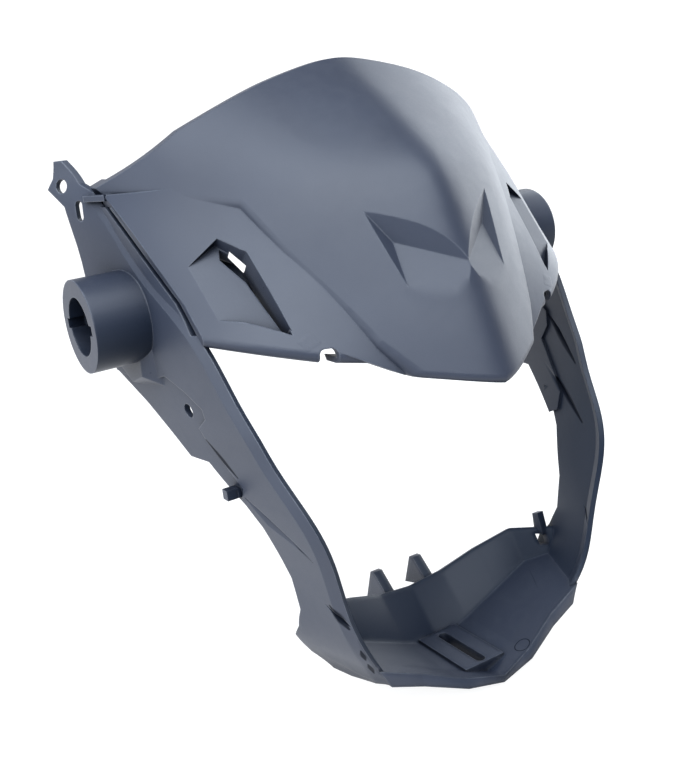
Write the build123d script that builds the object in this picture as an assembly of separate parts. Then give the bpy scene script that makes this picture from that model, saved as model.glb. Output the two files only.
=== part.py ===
from build123d import *
import os

# Headlight cowl of a small motorbike: one injection moulding in dark plastic.
# Millimetres. +Z is up, the cowl faces -Y, and X = 0 is its plane of symmetry.
# The origin is the middle of the slot in the chin pad, on the pad's top face.

# Moulding
WALL = 2.8
RETURN_DEPTH = 13.0
HOLLOW_DEPTH = 70.0
LEAN = Vector(0, 0.8, -0.6)

# Shield: ridge line as seen from the side, as (Y, Z), and how the skin falls back to each side
RIDGE = [
    (61, 305), (31, 285), (3, 265), (-17, 247), (-27, 228), (-36.5, 205), (-46.5, 181), (-55.5, 157),
    (-60, 145),
]
RIDGE_SLOPE = 0.30
SHIELD_BOW = 0.0056
TOP_FLATTEN = 0.57
FLATTEN_FROM = 250.0
STATION_STEP = 21.0
STATION_COUNT = 6

# Shield outline as seen from the front, as (X, Z)
SHIELD_TOP = 302.0
SHIELD_ARCH = [(24, 298.6), (42, 294), (62, 286.8)]
SHIELD_CORNER = (83, 277.5)
SHOULDER = (117, 255)
STEP_START = (112, 247)
STEP_ELBOW = (73, 237)
STEP_MID = (65, 216.5)
STEP_LOW = (52, 190.5)
STEP_END = (44.5, 174.5)
NOSE_CORNER = (35, 161.8)
NOSE_TIP = 154.0
STEP_ROUND = 6.0
NOSE_ROUND = 3.0

# Brow recess: three corners of its flat floor as (X, Y, Z), and its outline as seen from the front
BROW_FLOOR = [(26, -14.4, 219), (28.6, -26.2, 198.5), (5, -30.9, 210)]
BROW_OUTLINE = [(-8, 176), (27.5, 198), (25.5, 219), (-8, 204)]
BROW_DRAFT = 60.0
BROW_REACH = 8.0

# Wing skin: Y at each height, for each station across
WING_HEIGHTS = (252, 225, 200, 180, 160)
WING_SKIN = {
    36: (2, -8, -17, -24, -30),
    58: (25, 11, -3, -14, -24),
    80: (47, 30, 11, -3, -15),
    102: (73, 51, 31, 15, 1),
    124: (106, 81, 59, 43, 28),
}
WING_EDGE = [(111, 222.5), (107, 202)]
WING_CORNER = (105.7, 183.2)
WING_LIP = (66.8, 172.2)
WING_INNER = (47, 168.7)
WING_ROOT = [(50, 205), (60, 232), (84, 252)]
LIP_ROUND = 4.0

# Scoop in the wing: three corners of its sloping floor, its outline from the front, and the trough along it
SCOOP_FLOOR = [(101, 43, 217), (98, 22.5, 194.7), (80, 27, 210)]
SCOOP_OUTLINE = [(101, 217), (86, 225), (78.3, 217.3), (75, 183), (90, 191.5), (98, 194.5)]
TROUGH_OUTLINE = [(86.5, 218.5), (84.8, 223), (77.9, 217.2), (74.6, 184.5), (76.4, 187), (80.6, 208)]
TROUGH_DEPTH = 9.0
# Window through the trough's inboard wall, as an outline on the scoop's floor and the way it is cut
SCOOP_WINDOW = [(81.1, 221.6), (77.3, 214.9), (79.6, 211.8), (82.9, 219.2)]
SCOOP_WINDOW_WAY = Vector(-0.42, 0.90, -0.14)

# Notch in the wing's lower lip
NOTCH_X = 64.0
NOTCH_WIDTH = 7.5
NOTCH_TOP = 178.5

# Side wall: front edge (X, Y) and how far the skin spreads for each millimetre back, at each height
SIDE_LEVELS = {
    4: (55.5, -20, 0.26),
    21: (63.3, -21, 0.26),
    45: (74, -23, 0.22),
    70: (80, -24, 0.14),
    102: (87.8, -22.5, 0.15),
    122: (93.5, -10.5, 0.15),
    142: (98.3, 0.6, 0.14),
    163: (102.2, 13.5, 0.15),
    183: (105.3, 26.4, 0.17),
    205: (109.5, 54, 0.20),
    226: (112.7, 79, 0.25),
    247: (116, 98, 0.42),
    274: (119, 112, 0.45),
}
SIDE_BEVEL = (3.5, 6.0)
SIDE_REACH = 150.0
# Rear edge of the side wall as seen from the side, as (Y, Z), from the ear down to the foot
EAR_EDGE = [(106, 253.5), (114, 257.5), (123.5, 269.5), (128, 269.5), (129, 261), (132, 256), (123, 247)]
BODY_EDGE = [(122, 233), (119.5, 212), (119, 178), (112, 162), (88, 158), (64, 165), (48.5, 158.7)]
LEG_EDGE = [
    (37, 152), (36.5, 147), (45, 141), (42, 136), (21, 114), (26, 107), (17.5, 94), (9.8, 68), (10.5, 50),
    (14, 44),
]
FOOT_EDGE = [(17, 38), (24.5, 30), (25, 17), (17, 8), (5, 7.5), (-20, 11), (-60, 11)]
SIDE_TOP = [(-60, 240), (60, 240), (96, 255)]
# Recessed flange behind the rear edge
FLANGE_STEP = 1.5
FLANGE_REAR = [(114, 161), (92.5, 146.5), (64, 122), (48, 122), (24, 100)]
FLANGE_FRONT = [
    (17, 103), (16, 114), (36, 139), (31, 147), (32, 155), (47, 164.5), (64, 171), (88, 164), (112, 168),
]

# Fixing holes: the ear's two, along the way its slanting wall faces, and one straight across in the flange
EAR_HOLE = (125.8, 124.4, 257)
EAR_HOLE_D = 7.0
EAR_WAY = Vector(0.847, -0.494, 0.198)
EAR_SLOT = (122.4, 113.5, 244.5)
EAR_SLOT_WIDTH = 5.0
EAR_SLOT_LENGTH = 10.0
SIDE_HOLE = (52.5, 148.5)
SIDE_HOLE_D = 7.0

# Turn-signal boss, and the faceted block under it as outlines (Y, Z) at its root and its outer face
BOSS_Y = 86.5
BOSS_Z = 193.0
BOSS_ROOT = 108.0
BOSS_END = 142.0
BOSS_R = 23.0
BORE_R = 14.5
KEY_WIDTH = 5.0
KEY_DEPTH = 3.0
KEY_LENGTH = 8.0
BLOCK_ROOT = [(54, 192), (66, 157), (92, 154), (114, 163), (115, 195), (84, 214)]
BLOCK_FACE = [(73, 194), (77, 164), (92, 159), (106, 165), (107, 195), (86, 206)]
BLOCK_END = 119.0

# Wall from the wing's outer edge back to the rail, as the wing edge (X, Y) at each height
WEB_LEVELS = {188: (105.7, 25), 202: (107, 36), 222.5: (111, 60), 246: (116, 85)}
# Groove behind the wing's outer edge, in a backing that closes it
GROOVE_DEPTH = 4.0
GROOVE_FRONT = 4.7
GROOVE_REAR = 9.0
WING_RAKE = 1.25
# Ledge that ties the shoulder to the ear, as corners (X, Y) and heights
LEDGE = [(112, 93), (117, 92), (122.5, 107), (119.5, 108)]
LEDGE_LOW = 249.0
LEDGE_HIGH = 252.0

# Chin tray: section at each station across, from the lip round to the floor, as (Y, Z)
CHIN_SECTIONS = {
    0: [(-35, -1), (-34, -5.5), (-18, -9), (23, -9), (44.5, 19), (41.5, 20.5), (21, -6), (-18, -6), (-32.5, -2.5)],
    20.5: [(-30, 3.5), (-32, -1.5), (-14, -2.5), (24, -1.5), (44, 21.2), (41, 22.7), (21, 1.5), (-14, 1), (-27.5, 2.5)],
    41.7: [(-24, 12.4), (-25.5, 6), (-8, 5), (24, 6.5), (39.5, 29), (36.5, 30.5), (20.5, 11), (-8, 11), (-21.5, 11.5)],
    62.6: [(-21.8, 21.2), (-22.3, 13), (-6, 11.5), (24, 14), (33, 36), (30, 37.5), (20, 20.5), (-6, 20.5), (-19.5, 20.5)],
    86: [(-21, 31), (-21.5, 23), (-6, 21), (4, 23), (8, 38), (5, 39), (0, 30), (-6, 30), (-18, 30)],
}
PAD_HALF = 12.3
PAD_FRONT = -19.6
PAD_REAR = 21.4
PAD_FOOT = -8.0
SLOT_LENGTH = 36.0
SLOT_WIDTH = 5.5

# Leaf-shaped cuts in each leg, as end points: two on its inner face, a crease and a slit from outside
INNER_LEAVES = [((103.6, 31, 153.7), (96.5, 3.7, 129.7)), ((99.3, 28.4, 124), (89.4, -6.3, 99.6))]
LEG_CREASE = ((98.6, 21.8, 109.2), (87, -17.4, 84.5))
FOOT_SLIT = ((75.7, -22.4, 49.9), (82.4, -12.1, 61.2))
LEAF_HALF = 1.4
LEAF_DEPTH = 1.9
LEAF_RISE = 1.6
CREASE_SLOPE = 8.0

# Small ribs, as side outlines (Y, Z), middle X and width
HOOK_SIDE = [(34, 12), (53.5, 29.5), (57, 29), (64, 11), (44, 16)]
HOOK_X = 13.2
HOOK_WIDTH = 5.5
PEG_SIDE = [(26, 108.5), (31, 108.5), (31, 113.5), (26, 113.5)]
PEG_X = 101.0
PEG_WIDTH = 10.0
LUG_SIDE = [(14, 34), (21, 34), (22, 45.5), (17.5, 47)]
LUG_X = 75.0
LUG_WIDTH = 4.0
# Small window through the tray's rear corner, as low and high corners
WINDOW_LOW = (71.3, 12, 28.5)
WINDOW_HIGH = (75.6, 34, 34.5)

FAR = 400.0


def flip(point):
    return (-point[0], point[1])


def front(point):
    return Vector(point[0], 0, point[1])


def side(point):
    return Vector(0, point[0], point[1])


def lines(points):
    return [Edge.make_line(a, b) for a, b in zip(points, points[1:])]


def polygon(points):
    return Face(Wire(lines([*points, points[0]])))


def along_y(face):
    return extrude(face, FAR, dir=(0, 1, 0), both=True)


def across(face):
    return extrude(face, FAR, dir=(1, 0, 0), both=True)


def both(solid):
    return solid + mirror(solid, Plane.YZ)


def skin_section(x, points, near, far):
    """Slice of a curved skin between two depths along the lean direction."""
    outer = [Vector(x, y, z) + LEAN * near for y, z in points]
    inner = [Vector(x, y, z) + LEAN * far for y, z in reversed(points)]
    edges = [
        Edge.make_spline(outer),
        Edge.make_line(outer[-1], inner[0]),
        Edge.make_spline(inner),
        Edge.make_line(inner[-1], outer[0]),
    ]
    return Face(Wire(edges))


def shield_points(x):
    points = []
    for y, z in RIDGE:
        high = max(0, z - FLATTEN_FROM) / (RIDGE[0][1] - FLATTEN_FROM)
        spread = 1 - (1 - TOP_FLATTEN) * high
        points.append((y + spread * (RIDGE_SLOPE * x + SHIELD_BOW * x ** 2), z))
    return points


def shield_slab(near, far):
    squeeze = 1 - near / (STATION_COUNT * STATION_STEP)
    sections = []
    for i in range(-STATION_COUNT, STATION_COUNT + 1):
        x = i * STATION_STEP
        sections.append(skin_section(x * squeeze, shield_points(abs(x)), near, far))
    return loft(sections)


def wing_slab(near, far):
    squeeze = 1 - near / max(WING_SKIN)
    sections = []
    for x, row in WING_SKIN.items():
        sections.append(skin_section(x * squeeze, list(zip(row, WING_HEIGHTS)), near, far))
    return loft(sections)


def shield_face(rise):
    """Outline of the shield from the front, with its top edge raised."""
    arch = [SHIELD_CORNER, *reversed(SHIELD_ARCH), (0, SHIELD_TOP)]
    arch = arch + [flip(p) for p in reversed(arch[:-1])]
    half = [SHIELD_CORNER, SHOULDER]
    if rise:
        half = [(x, z + rise) for x, z in half] + [SHOULDER]
    half += [STEP_START, STEP_ELBOW, STEP_MID, STEP_LOW, STEP_END, NOSE_CORNER, (0, NOSE_TIP)]
    edges = [Edge.make_spline([front((x, z + rise)) for x, z in arch])]
    edges += lines([front(p) for p in half])
    edges += lines([front(flip(p)) for p in half])
    return Face(Wire(edges))


def wing_face():
    outline = [SHOULDER, *WING_EDGE, WING_CORNER, WING_LIP, WING_INNER, NOSE_CORNER, *WING_ROOT]
    return polygon([front(p) for p in outline])


def on_plane(corners, outline):
    """Front-view outline laid on the plane through three corners, and that plane's outward normal."""
    a, b, c = [Vector(*p) for p in corners]
    normal = (b - a).cross(c - a).normalized()
    if normal.Y > 0:
        normal = normal * -1
    points = []
    for x, z in outline:
        y = a.Y - ((x - a.X) * normal.X + (z - a.Z) * normal.Z) / normal.Y
        points.append(Vector(x, y, z))
    return points, normal


def brow(grow):
    points, normal = on_plane(BROW_FLOOR, BROW_OUTLINE)
    centre = sum(points, Vector()) * (1 / len(points))
    plane = Plane(origin=centre - normal * grow, x_dir=(points[1] - points[0]), z_dir=normal)
    local = [plane.to_local_coords(p) for p in points]
    face = polygon([Vector(p.X, p.Y, 0) for p in local])
    if grow:
        face = offset(face, grow, kind=Kind.INTERSECTION)
    cutter = extrude(plane * face, BROW_REACH, taper=-BROW_DRAFT)
    right = Pos(FAR / 2, 0, 0) * Box(FAR, FAR, 2 * FAR)
    return cutter & right


def pocket(outline, depth, grow):
    """Pocket under the scoop floor's plane, open to the front, grown all round by a wall."""
    points, normal = on_plane(SCOOP_FLOOR, outline)
    face = polygon(points)
    if grow:
        face = offset(face, grow, kind=Kind.INTERSECTION)
    return Pos(*(LEAN * (depth + grow))) * extrude(face, 45, dir=LEAN * -1)


def scoop(grow):
    return pocket(SCOOP_OUTLINE, 0, grow) + pocket(TROUGH_OUTLINE, TROUGH_DEPTH, grow)


def scoop_window():
    points, normal = on_plane(SCOOP_FLOOR, SCOOP_WINDOW)
    return extrude(polygon(points), 2 * RETURN_DEPTH, dir=SCOOP_WINDOW_WAY, both=True)


def skin_edges(solid, chosen):
    """Edges of the front skin whose two ends both satisfy a test."""
    skin = min(solid.faces().sort_by(SortBy.AREA)[-2:], key=lambda f: f.center().Y)
    return [e for e in skin.edges() if chosen(e.position_at(0)) and chosen(e.position_at(1))]


def on_step(point):
    return abs(point.X) > NOSE_CORNER[0] - 1 and point.Z < STEP_START[1] + 1


def on_nose(point):
    return point.Z < NOSE_CORNER[1] + 1


def on_lip(point):
    return point.X > WING_INNER[0] - 1 and point.Z < WING_CORNER[1] + 1


def head():
    """Shield and wings: their outer bulk less the room behind their skin."""
    shield = shield_slab(0, RETURN_DEPTH) & along_y(shield_face(0))
    shield = fillet(skin_edges(shield, on_step), STEP_ROUND)
    shield = fillet(skin_edges(shield, on_nose), NOSE_ROUND)
    wing = wing_slab(0, RETURN_DEPTH) & along_y(wing_face())
    wing = fillet(skin_edges(wing, on_lip), LIP_ROUND)
    outer = shield - both(brow(0)) + both(wing - scoop(0))
    behind_shield = offset(shield_face(40), -2 * WALL, kind=Kind.INTERSECTION)
    behind_wing = offset(wing_face(), -WALL, kind=Kind.INTERSECTION)
    room = shield_slab(WALL, HOLLOW_DEPTH) & along_y(behind_shield)
    wing_room = wing_slab(WALL, HOLLOW_DEPTH) & along_y(behind_wing)
    shell = outer - ((room - both(brow(WALL))) + both(wing_room - scoop(WALL)))
    notch = Pos(NOTCH_X, 0, NOTCH_TOP - FAR / 2) * Box(NOTCH_WIDTH, 60, FAR)
    notch = fillet(notch.edges().filter_by(Axis.Y).group_by(Axis.Z)[-1], NOTCH_WIDTH / 3)
    return shell - both(scoop_window()) - both(notch)


def side_section(z, inside):
    """Level section of one side wall, or of all the room inside its outer skin."""
    x, y, spread = SIDE_LEVELS[z]
    bevel_x, bevel_y = SIDE_BEVEL
    knee = (x + bevel_x, y + bevel_y)
    rear = (knee[0] + spread * (SIDE_REACH - knee[1]), SIDE_REACH)
    if inside:
        points = [(x, -60), (x, y), knee, rear, (-1, SIDE_REACH), (-1, -60)]
    else:
        points = [(x, y), knee, rear]
        points += [(rear[0] - WALL, rear[1]), (knee[0] - WALL, knee[1] + 0.8), (x - 2.4, y + 1.4)]
    return polygon([Vector(px, py, z) for px, py in points])


def side_loft(inside):
    sections = [side_section(z, inside) for z in SIDE_LEVELS]
    if inside:
        sections.insert(0, Pos(0, 0, -20 - min(SIDE_LEVELS)) * sections[0])
    return loft(sections)


def rail_front(z):
    """Front edge of the side wall at a height between two levels."""
    levels = sorted(SIDE_LEVELS)
    low = max(v for v in levels if v <= z)
    high = min(v for v in levels if v > z)
    share = (z - low) / (high - low)
    a, b = SIDE_LEVELS[low], SIDE_LEVELS[high]
    return a[0] + share * (b[0] - a[0]), a[1] + share * (b[1] - a[1])


def web():
    sections = []
    for z, (x, y) in WEB_LEVELS.items():
        rail_x, rail_y = rail_front(z)
        points = [(x - WALL, y + 2), (x - 0.3, y + 2), (rail_x + 1.5, rail_y + 3), (rail_x - 1.5, rail_y + 4.5)]
        sections.append(polygon([Vector(px, py, z) for px, py in points]))
    return loft(sections, ruled=True)


def groove(depth, out, thicken):
    """Channel behind the raked wing skin, from a depth inside the wing's edge to a reach outside it."""
    sections = []
    for z, (x, y) in WEB_LEVELS.items():
        front_y = y + GROOVE_FRONT - thicken
        rear_y = y + GROOVE_REAR + thicken
        points = [(x - depth, front_y - WING_RAKE * depth), (x + out, front_y + WING_RAKE * out)]
        points += [(x + out, rear_y), (x - depth, rear_y)]
        sections.append(polygon([Vector(px, py, z) for px, py in points]))
    return loft(sections, ruled=True)


def side_wall():
    outline = polygon([side(p) for p in [*EAR_EDGE, *BODY_EDGE, *LEG_EDGE, *FOOT_EDGE, *SIDE_TOP]])
    whole = side_loft(False)
    flange = Pos(-FLANGE_STEP, 0, 0) * whole & across(polygon([side(p) for p in FLANGE_REAR + FLANGE_FRONT]))
    return (whole & across(outline)) + flange


def boss():
    middle = Pos((BOSS_ROOT + BOSS_END) / 2, BOSS_Y, BOSS_Z)
    tube = middle * Rot(0, 90, 0) * Cylinder(BOSS_R, BOSS_END - BOSS_ROOT)
    root = Pos(BOSS_ROOT, 0, 0) * polygon([side(p) for p in BLOCK_ROOT])
    face = Pos(BLOCK_END, 0, 0) * polygon([side(p) for p in BLOCK_FACE])
    return tube + loft([root, face], ruled=True) - Pos(-WALL, 0, 0) * side_loft(True)


def boss_cut():
    bore = Pos(0, BOSS_Y, BOSS_Z) * Rot(0, 90, 0) * Cylinder(BORE_R, FAR)
    key = Box(KEY_LENGTH, 2 * (BORE_R + KEY_DEPTH), KEY_WIDTH)
    return bore + both(Pos(BOSS_END - KEY_LENGTH / 2, BOSS_Y, BOSS_Z) * key)


def ledge():
    face = polygon([Vector(x, y, LEDGE_LOW) for x, y in LEDGE])
    return extrude(face, LEDGE_HIGH - LEDGE_LOW, dir=(0, 0, 1))


def chin_half():
    sections = [polygon([Vector(x, y, z) for y, z in points]) for x, points in CHIN_SECTIONS.items()]
    return loft(sections, ruled=True) & side_loft(True)


def rib(points, x, width):
    return extrude(Pos(x, 0, 0) * polygon([side(p) for p in points]), width / 2, dir=(1, 0, 0), both=True)


def square_to_ear(place, outline):
    plane = Plane(origin=place, x_dir=(0, 0, 1), z_dir=EAR_WAY)
    return plane * extrude(outline, 4 * WALL, both=True)


def leaf(start, end, wide, narrow, inward):
    """Leaf-shaped cut in a skin between two of its points, deepest a third of the way along."""
    a, b, inward = Vector(*start), Vector(*end), Vector(*inward)
    deep = a + (b - a) * (1 / 3) + inward
    across_leaf = (b - a).cross(inward).normalized()
    middle = deep - inward
    rim = [a, middle + across_leaf * wide, b, middle - across_leaf * narrow]
    rim = [deep + (p - deep) * LEAF_RISE for p in rim]
    walls = [polygon([deep, p, q]) for p, q in zip(rim, rim[1:] + rim[:1])]
    return Solid(Shell([*walls, polygon(rim)]))


def leaf_cuts():
    cuts = [leaf(start, end, LEAF_HALF, LEAF_HALF, (LEAF_DEPTH, 0, 0)) for start, end in INNER_LEAVES]
    cuts.append(leaf(*LEG_CREASE, CREASE_SLOPE, LEAF_HALF / 2, (-LEAF_DEPTH, 0, 0)))
    cuts.append(leaf(*FOOT_SLIT, LEAF_HALF, LEAF_HALF, (-3 * WALL, 0, 0)))
    return cuts[0] + cuts[1:]


def hole(point, diameter):
    return Pos(0, *point) * Rot(0, 90, 0) * Cylinder(diameter / 2, FAR)


def half():
    solid = side_wall() + boss() + web() + ledge() + chin_half() + groove(GROOVE_DEPTH + WALL, -1, 1)
    solid += rib(HOOK_SIDE, HOOK_X, HOOK_WIDTH)
    solid += rib(PEG_SIDE, PEG_X, PEG_WIDTH)
    solid += rib(LUG_SIDE, LUG_X, LUG_WIDTH)
    return solid


def cowl():
    pad = Box(2 * PAD_HALF, PAD_REAR - PAD_FRONT, -PAD_FOOT)
    pad = Pos(0, (PAD_FRONT + PAD_REAR) / 2, PAD_FOOT / 2) * pad
    solid = head() + both(half()) + pad - both(groove(GROOVE_DEPTH, 2, 0))
    slot = extrude(SlotOverall(SLOT_LENGTH, SLOT_WIDTH, rotation=90), 30, both=True)
    ear_hole = square_to_ear(EAR_HOLE, Circle(EAR_HOLE_D / 2))
    ear_slot = square_to_ear(EAR_SLOT, SlotOverall(EAR_SLOT_LENGTH, EAR_SLOT_WIDTH))
    size = [high - low for low, high in zip(WINDOW_LOW, WINDOW_HIGH)]
    window = Pos(*WINDOW_LOW) * Box(*size, align=Align.MIN)
    solid = solid - slot - boss_cut() - both(ear_hole) - both(ear_slot) - both(window)
    return solid - both(leaf_cuts()) - hole(SIDE_HOLE, SIDE_HOLE_D)


if __name__ == "__main__":
    os.makedirs("parts", exist_ok=True)
    export_step(cowl(), "parts/headlight_cowl.step")
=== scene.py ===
import math

import bpy
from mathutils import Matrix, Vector


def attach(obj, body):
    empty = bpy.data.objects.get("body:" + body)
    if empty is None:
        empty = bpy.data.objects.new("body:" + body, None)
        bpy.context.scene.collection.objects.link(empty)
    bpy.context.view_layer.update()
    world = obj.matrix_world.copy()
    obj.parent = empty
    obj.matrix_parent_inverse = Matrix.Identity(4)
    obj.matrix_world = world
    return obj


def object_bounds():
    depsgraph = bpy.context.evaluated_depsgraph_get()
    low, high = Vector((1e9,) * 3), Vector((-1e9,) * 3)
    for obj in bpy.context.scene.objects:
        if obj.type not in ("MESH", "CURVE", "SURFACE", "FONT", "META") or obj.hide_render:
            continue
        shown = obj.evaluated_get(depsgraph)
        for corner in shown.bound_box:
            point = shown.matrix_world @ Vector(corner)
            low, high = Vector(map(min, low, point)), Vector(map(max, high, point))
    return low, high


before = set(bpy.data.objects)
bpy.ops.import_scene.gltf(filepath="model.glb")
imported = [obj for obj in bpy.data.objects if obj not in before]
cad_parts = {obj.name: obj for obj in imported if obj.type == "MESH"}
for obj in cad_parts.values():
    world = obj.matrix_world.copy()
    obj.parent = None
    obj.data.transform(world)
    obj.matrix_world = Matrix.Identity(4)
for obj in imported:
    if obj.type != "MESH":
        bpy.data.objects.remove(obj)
CAD_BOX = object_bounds()
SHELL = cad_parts["headlight_cowl"]

# The photograph's frame and the camera that sees the cowl as it does, in pixels, metres and degrees.
IMAGE_WIDTH, IMAGE_HEIGHT = 678, 768
FOCAL_PIXELS = 1050
CAMERA_PLACE = (-0.2846, -0.4030, 0.2876)
CAMERA_TURN = (74.245, 6.907, -31.770)
CAMERA_NEAR = 0.01
SENSOR_MM = 36.0

# The studio: a pale board that sweeps up behind the cowl, dim light from all round and soft lamps.
# The board's turns are in degrees. Its glow grows along GLOW_WAY between two distances from the origin.
FLOOR_RADIUS = 3.0
FULL_TURN = 360
RIM_STEP = 5
BACKDROP_HEIGHT = 2.0
BACKDROP_TURNS = (-20, 130)
BOARD_COLOUR = (0.24, 0.24, 0.244)
BOARD_ROUGHNESS = 0.9
BOARD_GLOW = 0.88
GLOW_WAY = (0.50, 0.87, 0.0)
GLOW_FROM, GLOW_FULL = -0.50, -0.10
LAMP_COLOUR = (0.86, 0.93, 1.0)
WALL_COLOUR = (1.0, 1.0, 1.0)
WALL_LIGHT = 0.28
LAMPS = {
    "top_lamp": {"place": (-0.7, -0.85, 1.7), "size": 2.4, "watts": 98},
    "left_lamp": {"place": (-1.6, -0.1, 0.4), "size": 1.2, "watts": 17},
    "right_lamp": {"place": (1.3, 0.4, 0.62), "size": 1.3, "watts": 15},
}
LAMP_AIM = (0.0, 0.04, 0.15)

# The plastic's colours: two blue greys that drift into each other, paler where dust lies, paler at the
# edges with rubbed wear and a painted highlight, and darker with painted shade in nooks and on the faces
# that look at INNER_POINT. Reaches are in metres.
DEEP_GREY = (0.022, 0.028, 0.047)
PALE_GREY = (0.026, 0.033, 0.054)
RUBBED_AND_HIGHLIGHT_GREY = (0.150, 0.165, 0.200)
DUST_GREY = (0.120, 0.130, 0.150)
PAINTED_SHADE_GREY = (0.006, 0.008, 0.014)
INNER_SHADE_GREY = (0.008, 0.014, 0.028)
EDGE_REACH = 0.0011
NOOK_REACH = 0.035
INNER_POINT = (0.0, -0.06, 0.12)
INNER_ON_FLOORS = 0.25

# Noise fields, each as its waves in a metre, its detail and its distortion.
CLOUDS = (16.0, 4.0, 0.6)
SCUFFS = (85.0, 6.0, 1.5)
RIPPLE = (260.0, 3.0, 0.0)
TEARS = (700.0, 3.0, 1.0)
GRAIN = (2200.0, 2.0, 0.0)

# Ranges that a measure is stretched from, and where four numbers stand, the range that it becomes.
CLOUD_RANGE = (0.32, 0.68)
EDGE_RANGE = (0.985, 0.80)
OPEN_RANGE = (0.35, 0.92)
UPWARD_RANGE = (0.45, 0.95)
INWARD_RANGE = (0.40, 0.75)
WEAR_AND_HIGHLIGHT_RANGE = (0.35, 0.65, 0.30, 0.85)
DUST_RANGE = (0.45, 0.80, 0.0, 0.08)
SCUFF_ROUGHNESS = (0.25, 0.75, 0.435, 0.475)
GRAIN_ROUGHNESS = (0.30, 0.70, -0.03, 0.03)

# The plastic's shine and relief. The relief's parts are multiples of the grain's own height.
PLASTIC_IOR = 1.5
# Painted shade: the shine drops to NOOK_SHINE in nooks and cut lines, and by INNER_SHINE on the inner
# faces.
NOOK_SHINE, OPEN_SHINE = 0.06, 0.50
INNER_SHINE = 0.4
RIPPLE_HEIGHT = 0.5
TEAR_HEIGHT = 14.0
CUT_DEPTH = 3.0
BUMP_STRENGTH = 0.10
BUMP_HEIGHT = 0.0003
EDGE_SAMPLES = 4
NORMAL_SAMPLES = 6
NOOK_SAMPLES = 4

# Small marks of the mould and of handling, each as two ends and half a width in metres. They are on the
# right side and the left side mirrors them, but the ejector's ring, a centre, radius and width, is single.
# The cut lines and the ejector's ring are sunk by the bump and darkened with painted shade.
CUT_LINES = {
    "panel line": ((0.0775, 0.0172, 0.2052), (0.0680, 0.0112, 0.2114), 0.0006),
    "tray crease": ((0.0630, 0.0190, 0.0209), (0.0420, -0.0222, 0.0121), 0.0006),
    "upper leaf": ((0.1036, 0.0318, 0.1531), (0.0968, 0.0055, 0.1305), 0.0026),
    "lower leaf": ((0.0990, 0.0275, 0.1235), (0.0899, -0.0045, 0.1008), 0.0026),
    "inner crease": ((0.0935, 0.0169, 0.1029), (0.0789, -0.0215, 0.0730), 0.0006),
    "outer slit": ((0.1057, 0.0414, 0.1356), (0.1006, 0.0227, 0.1196), 0.0020),
    "outer crease": ((0.0988, 0.0224, 0.1091), (0.0872, -0.0151, 0.0843), 0.0006),
    "foot slit": ((0.0818, -0.0155, 0.0608), (0.0764, -0.0207, 0.0490), 0.0034),
    "upper foot nick": ((0.0718, -0.0210, 0.0358), (0.0688, -0.0196, 0.0292), 0.0021),
    "lower foot nick": ((0.0677, -0.0191, 0.0268), (0.0644, -0.0175, 0.0194), 0.0021),
    "block seam": ((0.1127, 0.0635, 0.1662), (0.1160, 0.0734, 0.1659), 0.0006),
}
EJECTOR_MARK = ((0.0209, -0.0240, 0.0030), 0.0042, 0.0004)
ROUGH_PATCH = ((0.0735, -0.0045, 0.1824), (0.0665, -0.0090, 0.1815), 0.0042)

# A line's mask keeps its width up to TAPER_FROM of its length from its middle and then narrows to
# END_WIDTH. LINE_CORE and RING_CORE are the shares of a width that are masked in full.
TAPER_FROM, TAPER_TO = 0.10, 0.50
END_WIDTH = 0.3
LINE_CORE = 0.5
RING_CORE = 0.4

# Where creases run out softly: the foot of each brow's floor, and the chin tray below a height.
SOFT_BROW = [
    ((0.0275, -0.0278, 0.1960), (0.0130, -0.0415, 0.1890), 0.020),
    ((0.0130, -0.0415, 0.1890), (0.0, -0.0440, 0.1900), 0.016),
]
BROW_SOFTNESS = 0.011
TRAY_HEIGHT = 0.045
TRAY_FADE = 0.8
TRAY_SOFTNESS = 0.004

# Backing behind the lower end of each scoop's trough, as corners of its right-hand plate in metres.
SCOOP_BACKING = [
    (0.0822, 0.0542, 0.2206),
    (0.0773, 0.0487, 0.2169),
    (0.0740, 0.0406, 0.2093),
    (0.0704, 0.0417, 0.2126),
    (0.0698, 0.0277, 0.1966),
    (0.0742, 0.0266, 0.1929),
    (0.0805, 0.0394, 0.2042),
]
BACKING_THICKNESS = 0.0015


def add_node(tree, kind, **values):
    """A shader node with its properties and its input sockets set by name."""
    made = tree.nodes.new(kind)
    for name, value in values.items():
        if name in made.inputs:
            made.inputs[name].default_value = value
        else:
            setattr(made, name, value)
    return made


def noise(tree, place, scale, detail, distortion):
    """A noise field in the object's own metres."""
    made = add_node(tree, "ShaderNodeTexNoise", Scale=scale, Detail=detail, Distortion=distortion)
    tree.links.new(place, made.inputs["Vector"])
    return made.outputs["Fac"]


def spread(tree, value, low, high, to_low=0.0, to_high=1.0):
    """Value stretched from the range low to high onto to_low to to_high, and held there."""
    made = add_node(tree, "ShaderNodeMapRange")
    numbers = (low, high, to_low, to_high)
    for name, number in zip(("From Min", "From Max", "To Min", "To Max"), numbers):
        made.inputs[name].default_value = number
    tree.links.new(value, made.inputs["Value"])
    return made.outputs["Result"]


def sums(tree, how, first, second):
    """Two values put together by one arithmetic step."""
    made = add_node(tree, "ShaderNodeMath", operation=how)
    for socket, value in zip(made.inputs, (first, second)):
        if isinstance(value, float):
            socket.default_value = value
        else:
            tree.links.new(value, socket)
    return made.outputs["Value"]


def step(tree, how, first, second):
    """Two vectors put together by one vector step."""
    made = add_node(tree, "ShaderNodeVectorMath", operation=how)
    for socket, value in zip(made.inputs, (first, second)):
        if isinstance(value, (tuple, Vector)):
            socket.default_value = value
        else:
            tree.links.new(value, socket)
    return made


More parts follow.
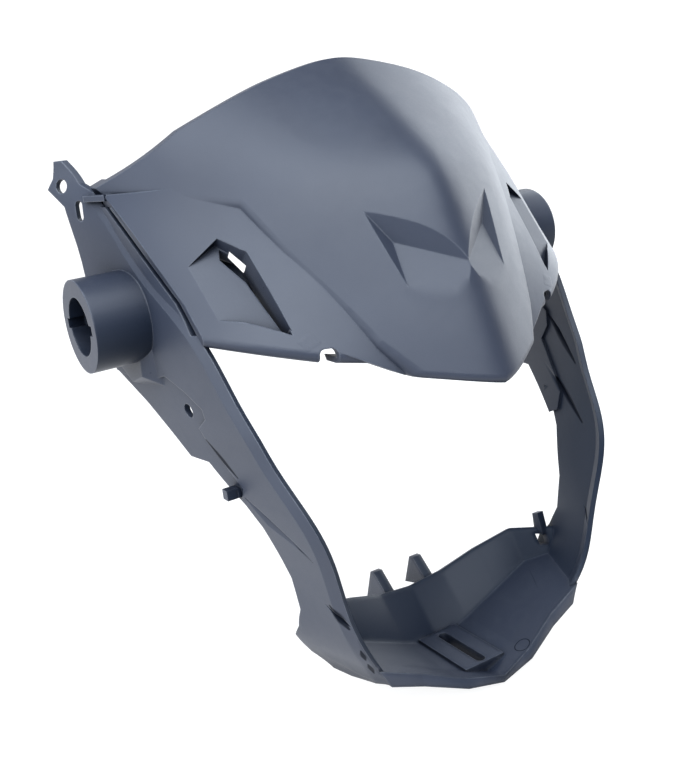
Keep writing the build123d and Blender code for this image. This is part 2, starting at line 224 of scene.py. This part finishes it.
def tint(tree, share, first, second):
    """One colour passing into another as the share goes from 0 to 1."""
    made = add_node(tree, "ShaderNodeMix", data_type="RGBA")
    tree.links.new(share, made.inputs["Factor"])
    for name, colour in (("A", first), ("B", second)):
        socket = next(s for s in made.inputs if s.name == name and s.type == "RGBA")
        if isinstance(colour, tuple):
            socket.default_value = (*colour, 1.0)
        else:
            tree.links.new(colour, socket)
    return next(s for s in made.outputs if s.type == "RGBA")


def mirrored(tree, place):
    """The place folded over onto the cowl's right side."""
    parts = add_node(tree, "ShaderNodeSeparateXYZ")
    tree.links.new(place, parts.inputs[0])
    folded = add_node(tree, "ShaderNodeCombineXYZ")
    tree.links.new(sums(tree, "ABSOLUTE", parts.outputs["X"], 0.0), folded.inputs["X"])
    tree.links.new(parts.outputs["Y"], folded.inputs["Y"])
    tree.links.new(parts.outputs["Z"], folded.inputs["Z"])
    return folded.outputs["Vector"]


def near_line(tree, place, start, end, reach):
    """High close to the line between two points, over a width that narrows towards its ends."""
    way = Vector(end) - Vector(start)
    offset = step(tree, "SUBTRACT", place, start).outputs["Vector"]
    share = step(tree, "DOT_PRODUCT", offset, way / way.length_squared).outputs["Value"]
    foot = add_node(tree, "ShaderNodeVectorMath", operation="SCALE")
    foot.inputs[0].default_value = way
    tree.links.new(spread(tree, share, 0.0, 1.0), foot.inputs["Scale"])
    gap = step(tree, "DISTANCE", offset, foot.outputs["Vector"]).outputs["Value"]
    from_middle = sums(tree, "ABSOLUTE", sums(tree, "SUBTRACT", share, 0.5), 0.0)
    width = spread(tree, from_middle, TAPER_FROM, TAPER_TO, reach, END_WIDTH * reach)
    return spread(tree, sums(tree, "DIVIDE", gap, width), 1.0, LINE_CORE)


def near_ring(tree, place, centre, radius, reach):
    """High close to a ring about a point."""
    gap = step(tree, "DISTANCE", place, centre).outputs["Value"]
    gap = sums(tree, "ABSOLUTE", sums(tree, "SUBTRACT", gap, radius), 0.0)
    return spread(tree, gap, reach, RING_CORE * reach)


def edge_mask(tree):
    """High along the edges, where the rounded normal leaves the true one."""
    rounded = add_node(tree, "ShaderNodeBevel", samples=EDGE_SAMPLES, Radius=EDGE_REACH)
    true = add_node(tree, "ShaderNodeNewGeometry")
    turned = step(tree, "DOT_PRODUCT", rounded.outputs["Normal"], true.outputs["Normal"])
    return spread(tree, turned.outputs["Value"], *EDGE_RANGE)


def unshaded_mask(tree):
    """Painted shade: low in nooks, where walls close by keep the light out, and high on open faces."""
    sheltered = add_node(tree, "ShaderNodeAmbientOcclusion", samples=NOOK_SAMPLES, Distance=NOOK_REACH)
    return spread(tree, sheltered.outputs["AO"], *OPEN_RANGE)


def upward_mask(tree):
    """High where the surface faces up and dust can lie."""
    geometry = add_node(tree, "ShaderNodeNewGeometry")
    parts = add_node(tree, "ShaderNodeSeparateXYZ")
    tree.links.new(geometry.outputs["Normal"], parts.inputs[0])
    return spread(tree, parts.outputs["Z"], *UPWARD_RANGE)


def inner_shade_mask(tree, place):
    """Painted shade: high on the faces that look into the lamp's room, and lower on those of them that
    face up.
    """
    inward = step(tree, "SUBTRACT", INNER_POINT, place).outputs["Vector"]
    inward = step(tree, "NORMALIZE", inward, (0.0, 0.0, 0.0)).outputs["Vector"]
    geometry = add_node(tree, "ShaderNodeNewGeometry").outputs["Normal"]
    faces = step(tree, "DOT_PRODUCT", inward, geometry).outputs["Value"]
    steep = spread(tree, upward_mask(tree), 0.0, 1.0, 1.0, INNER_ON_FLOORS)
    return sums(tree, "MULTIPLY", spread(tree, faces, *INWARD_RANGE), steep)


def cut_mask(tree, place, folded):
    """High in the cut lines and in the ejector's ring, which the bump sinks and painted shade darkens."""
    cuts = near_ring(tree, place, *EJECTOR_MARK)
    for line in CUT_LINES.values():
        cuts = sums(tree, "MAXIMUM", cuts, near_line(tree, folded, *line))
    return cuts


def soft_normal(tree, place, folded):
    """The skin's normal, rounded a little at every edge and more where creases run out softly."""
    parts = add_node(tree, "ShaderNodeSeparateXYZ")
    tree.links.new(place, parts.inputs[0])
    fade = TRAY_FADE * TRAY_HEIGHT
    reach = spread(tree, parts.outputs["Z"], TRAY_HEIGHT, fade, EDGE_REACH, TRAY_SOFTNESS)
    for line in SOFT_BROW:
        brow = spread(tree, near_line(tree, folded, *line), 0.0, 1.0, EDGE_REACH, BROW_SOFTNESS)
        reach = sums(tree, "MAXIMUM", reach, brow)
    rounded = add_node(tree, "ShaderNodeBevel", samples=NORMAL_SAMPLES)
    tree.links.new(reach, rounded.inputs["Radius"])
    return rounded.outputs["Normal"]


def skin_colour(tree, place, scuffs, inner_shade, clear):
    """Drifting greys, dusty on top, rubbed and painted with a highlight at the edges, and darkened with
    painted shade inside, in nooks and in the cut lines.
    """
    clouds = noise(tree, place, *CLOUDS)
    body = tint(tree, spread(tree, clouds, *CLOUD_RANGE), DEEP_GREY, PALE_GREY)
    # Rubbed wear along the edges, in a pale grey that also serves as a painted highlight.
    worn_and_highlit = sums(tree, "MULTIPLY", edge_mask(tree), spread(tree, scuffs, *WEAR_AND_HIGHLIGHT_RANGE))
    body = tint(tree, worn_and_highlit, body, RUBBED_AND_HIGHLIGHT_GREY)
    dust = sums(tree, "MULTIPLY", upward_mask(tree), spread(tree, scuffs, *DUST_RANGE))
    body = tint(tree, dust, body, DUST_GREY)
    # Painted shade on the inner faces, then in nooks and cut lines.
    body = tint(tree, inner_shade, body, INNER_SHADE_GREY)
    return tint(tree, clear, PAINTED_SHADE_GREY, body)


def skin_shine(tree, inner_shade, clear):
    """Painted shade: less mirrored light in nooks, in the cut lines and on the inner faces than outside.
    """
    shine = spread(tree, clear, 0.0, 1.0, NOOK_SHINE, OPEN_SHINE)
    return sums(tree, "MULTIPLY", shine, spread(tree, inner_shade, 0.0, 1.0, 1.0, INNER_SHINE))


def skin_roughness(tree, scuffs, grain):
    """A satin finish that varies a little with the scuffs and the grain."""
    finish = spread(tree, scuffs, *SCUFF_ROUGHNESS)
    return sums(tree, "ADD", finish, spread(tree, grain, *GRAIN_ROUGHNESS))


def skin_normal(tree, place, folded, grain, cuts):
    """The softened normal with the grain, the ripple, the torn patch and the cut lines on it."""
    ripple = noise(tree, place, *RIPPLE)
    relief = sums(tree, "ADD", sums(tree, "MULTIPLY", ripple, RIPPLE_HEIGHT), grain)
    tears = noise(tree, place, *TEARS)
    torn = sums(tree, "MULTIPLY", near_line(tree, folded, *ROUGH_PATCH), tears)
    relief = sums(tree, "ADD", relief, sums(tree, "MULTIPLY", torn, TEAR_HEIGHT))
    relief = sums(tree, "SUBTRACT", relief, sums(tree, "MULTIPLY", cuts, CUT_DEPTH))
    bump = add_node(tree, "ShaderNodeBump", Strength=BUMP_STRENGTH, Distance=BUMP_HEIGHT)
    tree.links.new(relief, bump.inputs["Height"])
    tree.links.new(soft_normal(tree, place, folded), bump.inputs["Normal"])
    return bump.outputs["Normal"]


def moulded_plastic():
    """Satin blue-grey plastic with a fine grain, faint flow clouds, rubbed edges that carry a painted
    highlight, and painted shade in nooks, cut lines and inner faces.
    """
    material = bpy.data.materials.new("moulded_plastic")
    material.use_nodes = True
    tree = material.node_tree
    shader = tree.nodes["Principled BSDF"]
    shader.inputs["IOR"].default_value = PLASTIC_IOR

    place = add_node(tree, "ShaderNodeTexCoord").outputs["Object"]
    folded = mirrored(tree, place)
    scuffs = noise(tree, place, *SCUFFS)
    grain = noise(tree, place, *GRAIN)
    inner_shade = inner_shade_mask(tree, place)
    cuts = cut_mask(tree, place, folded)
    # Painted shade: high on open faces, low in nooks and in the cut lines.
    clear = sums(tree, "MULTIPLY", unshaded_mask(tree), spread(tree, cuts, 0.0, 1.0, 1.0, 0.0))

    tree.links.new(skin_colour(tree, place, scuffs, inner_shade, clear), shader.inputs["Base Color"])
    tree.links.new(skin_shine(tree, inner_shade, clear), shader.inputs["Specular IOR Level"])
    tree.links.new(skin_roughness(tree, scuffs, grain), shader.inputs["Roughness"])
    tree.links.new(skin_normal(tree, place, folded, grain, cuts), shader.inputs["Normal"])
    return material


def white_board():
    """A matt pale board that glows white behind the cowl and fades out in front of it."""
    material = bpy.data.materials.new("white_board")
    material.use_nodes = True
    tree = material.node_tree
    shader = tree.nodes["Principled BSDF"]
    shader.inputs["Base Color"].default_value = (*BOARD_COLOUR, 1.0)
    shader.inputs["Roughness"].default_value = BOARD_ROUGHNESS
    shader.inputs["Emission Color"].default_value = (*WALL_COLOUR, 1.0)
    place = add_node(tree, "ShaderNodeTexCoord").outputs["Object"]
    behind = step(tree, "DOT_PRODUCT", place, GLOW_WAY).outputs["Value"]
    glow = spread(tree, behind, GLOW_FROM, GLOW_FULL, 0.0, BOARD_GLOW)
    tree.links.new(glow, shader.inputs["Emission Strength"])
    return material


def pale_floor():
    """A round board under the cowl that turns up into a wall behind it."""
    low = CAD_BOX[0].z
    first, last = BACKDROP_TURNS
    rim = []
    for turn in range(first, first + FULL_TURN, RIM_STEP):
        angle = math.radians(turn)
        rim.append((FLOOR_RADIUS * math.cos(angle), FLOOR_RADIUS * math.sin(angle), low))
    wall = (last - first) // RIM_STEP + 1
    raised = [(x, y, z + BACKDROP_HEIGHT) for x, y, z in rim[:wall]]
    faces = [tuple(range(len(rim)))]
    for i in range(wall - 1):
        faces.append((i + 1, i, len(rim) + i, len(rim) + i + 1))
    mesh = bpy.data.meshes.new("floor")
    mesh.from_pydata(rim + raised, [], faces)
    mesh.materials.append(white_board())
    board = bpy.data.objects.new("floor", mesh)
    bpy.context.scene.collection.objects.link(board)


def white_walls():
    """Even, dim white light from every side."""
    world = bpy.data.worlds.new("white_walls")
    world.use_nodes = True
    sky = world.node_tree.nodes["Background"]
    sky.inputs["Color"].default_value = (*WALL_COLOUR, 1.0)
    sky.inputs["Strength"].default_value = WALL_LIGHT
    bpy.context.scene.world = world


def lamp(name, place, size, watts):
    """A soft square lamp that faces the cowl."""
    light = bpy.data.lights.new(name, "AREA")
    light.size = size
    light.energy = watts
    light.color = LAMP_COLOUR
    made = bpy.data.objects.new(name, light)
    made.location = place
    made.rotation_euler = (Vector(LAMP_AIM) - Vector(place)).to_track_quat("-Z", "Y").to_euler()
    bpy.context.scene.collection.objects.link(made)


def camera():
    """The photograph's viewpoint."""
    data = bpy.data.cameras.new("camera")
    data.sensor_width = SENSOR_MM
    data.lens = FOCAL_PIXELS / max(IMAGE_WIDTH, IMAGE_HEIGHT) * SENSOR_MM
    data.clip_start = CAMERA_NEAR
    made = bpy.data.objects.new("camera", data)
    made.location = CAMERA_PLACE
    made.rotation_euler = [math.radians(turn) for turn in CAMERA_TURN]
    bpy.context.scene.collection.objects.link(made)
    bpy.context.scene.camera = made


def dress(piece, material):
    """The cowl's own solid in its plastic."""
    piece.data.materials.clear()
    piece.data.materials.append(material)


def scoop_backing(name, hand, material):
    """A thin plate that closes the lower end of one scoop's trough from behind."""
    corners = [(hand * x, y, z) for x, y, z in SCOOP_BACKING]
    mesh = bpy.data.meshes.new(name)
    mesh.from_pydata(corners, [], [tuple(range(len(corners)))])
    mesh.materials.append(material)
    plate = bpy.data.objects.new(name, mesh)
    bpy.context.scene.collection.objects.link(plate)
    plate.modifiers.new("thickness", "SOLIDIFY").thickness = BACKING_THICKNESS
    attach(plate, "root")


camera()
pale_floor()
white_walls()
for name, settings in LAMPS.items():
    lamp(name, **settings)
plastic = moulded_plastic()
dress(SHELL, plastic)
scoop_backing("scoop_backing_left", -1, plastic)
scoop_backing("scoop_backing_right", 1, plastic)
bpy.context.scene.view_settings.view_transform = "Standard"
